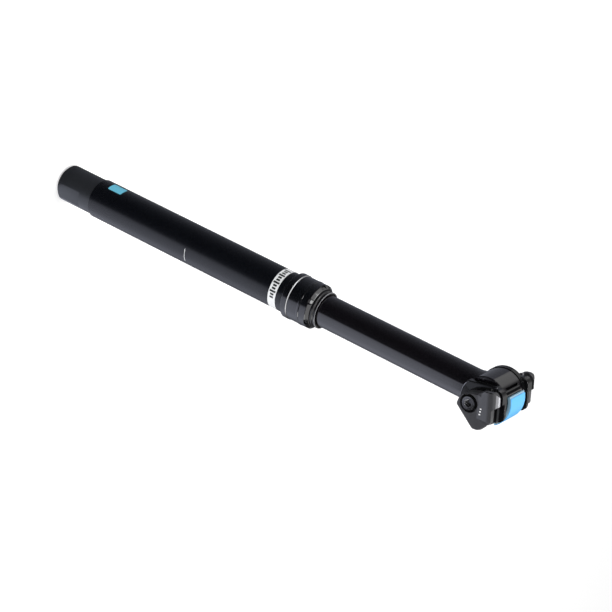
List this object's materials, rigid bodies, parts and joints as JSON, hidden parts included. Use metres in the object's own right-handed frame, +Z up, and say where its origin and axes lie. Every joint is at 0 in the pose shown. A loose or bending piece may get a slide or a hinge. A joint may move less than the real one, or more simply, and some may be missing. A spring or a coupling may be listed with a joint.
{
  "type": "dropper seatpost",
  "caption": "Telescopic bicycle seatpost: a gas-sprung stanchion slides in the frame's tube on a cable-pulled release and carries a side-bolt saddle rail clamp.",
  "frame": {"origin": "on the post's axis at the outer tube's lower end, where the tube meets the actuator housing", "axes": "+Z up the post towards the saddle, -X towards the front of the bicycle, -Y towards its left side"},
  "size_m": [0.0362, 0.0576, 0.4291],
  "materials": {
    "tube_black": "satin black anodised",
    "collar_black": "bright black anodised",
    "stanchion_black": "polished, hard black anodised",
    "housing_grey": "matt dark grey anodised",
    "plug_black": "matt black anodised",
    "clamp_grey": "shot-blasted, dark grey anodised",
    "cradle_black": "bright black anodised",
    "cap_grey": "fine matt",
    "badge_blue": "smooth",
    "bolt_black": "black oxide",
    "rod_steel": "hard chromed and ground",
    "plain_steel": "turned",
    "brass": "milled",
    "plain_aluminium": "turned, clear anodised",
    "bushing_polymer": "smooth",
    "rubber": "smooth with a faint sheen",
    "foam": "open-celled foam, oiled"
  },
  "bodies": {
    "post": {"outer_tube": "tube_black", "seal_collar": "collar_black", "wiper_seal": "rubber", "foam_ring": "foam", "upper_bushing": "bushing_polymer", "actuator_housing": "housing_grey", "housing_o_ring": "rubber", "end_plug": "plug_black", "cable_stop": "plug_black", "lever_pin": "plain_steel", "lever_spacers": "plain_aluminium", "damper_rod": "rod_steel", "rod_nut": "plain_steel", "main_piston": "plain_aluminium", "piston_ring": "bushing_polymer", "return_spring": "plain_steel"},
    "sliding_post": {"stanchion": "stanchion_black", "head_cap": "cap_grey", "cap_badge": "badge_blue", "lower_bushing": "bushing_polymer", "guide_keys": "brass", "cartridge_tube": "plain_aluminium", "cartridge_cap": "plain_aluminium", "rod_gland": "plain_aluminium", "rod_seal": "rubber", "gland_ring": "plain_steel", "top_out_bumper": "rubber"},
    "gas_piston": {"floating_piston": "plain_aluminium", "floating_piston_ring": "bushing_polymer"},
    "lever": {"release_lever": "plain_aluminium"},
    "anchor": {"cable_anchor": "brass", "anchor_screw": "plain_steel"},
    "valve": {"release_pin": "plain_steel"},
    "clamp_core": {"left_cradle": "cradle_black", "right_cradle": "cradle_black"},
    "left_clamp": {"left_outer_clamp": "clamp_grey", "bolt_washer": "bolt_black"},
    "bolt": {"clamp_bolt": "bolt_black"},
    "right_clamp": {"right_outer_clamp": "clamp_grey", "clamp_nut": "bolt_black"}
  },
  "joints": [
    {"name": "post_slide", "type": "slide", "parent": "post", "child": "sliding_post", "axis": [0, 0, 1], "range_m": [-0.12, 0], "stiffness_N_per_m": 500, "springref_m": 0.22},
    {"name": "floating_piston_slide", "type": "slide", "parent": "sliding_post", "child": "gas_piston", "axis": [0, 0, 1], "range_m": [0, 0.03]},
    {"name": "release_pin_slide", "type": "slide", "parent": "post", "child": "valve", "axis": [0, 0, 1], "range_m": [0, 0.00153], "stiffness_N_per_m": 2000, "springref_m": -0.004, "deforming": ["return_spring"]},
    {"name": "release_lever_turn", "type": "hinge", "parent": "post", "child": "lever", "pos_m": [-0.0035, 0, -0.006], "axis": [0, -1, 0], "range_deg": [0, 25]},
    {"name": "cable_anchor_turn", "type": "hinge", "parent": "lever", "child": "anchor", "pos_m": [-0.0075, 0, -0.006], "axis": [0, -1, 0], "range_deg": [-25, 0]},
    {"name": "saddle_tilt", "type": "hinge", "parent": "sliding_post", "child": "clamp_core", "pos_m": [0, 0, 0.37368], "axis": [0, 1, 0], "range_deg": [-18, 18]},
    {"name": "left_clamp_slide", "type": "slide", "parent": "clamp_core", "child": "left_clamp", "axis": [0, -1, 0], "range_m": [0, 0.00187]},
    {"name": "clamp_bolt_turn", "type": "hinge", "parent": "left_clamp", "child": "bolt", "pos_m": [0.00104, 0, 0.36879], "axis": [0, -1, 0], "range_deg": [0, 1081]},
    {"name": "right_clamp_slide", "type": "slide", "parent": "clamp_core", "child": "right_clamp", "axis": [0, 1, 0], "range_m": [0, 0.0019]}
  ],
  "couplings": [
    {"joint": "floating_piston_slide", "follows": "post_slide", "ratio": -0.25},
    {"joint": "release_lever_turn", "follows": "release_pin_slide", "rad_per_m": 285.71},
    {"joint": "cable_anchor_turn", "follows": "release_pin_slide", "rad_per_m": -285.71},
    {"joint": "clamp_bolt_turn", "follows": "left_clamp_slide", "rad_per_m": 10053},
    {"joint": "right_clamp_slide", "follows": "left_clamp_slide", "ratio": 1}
  ]
}
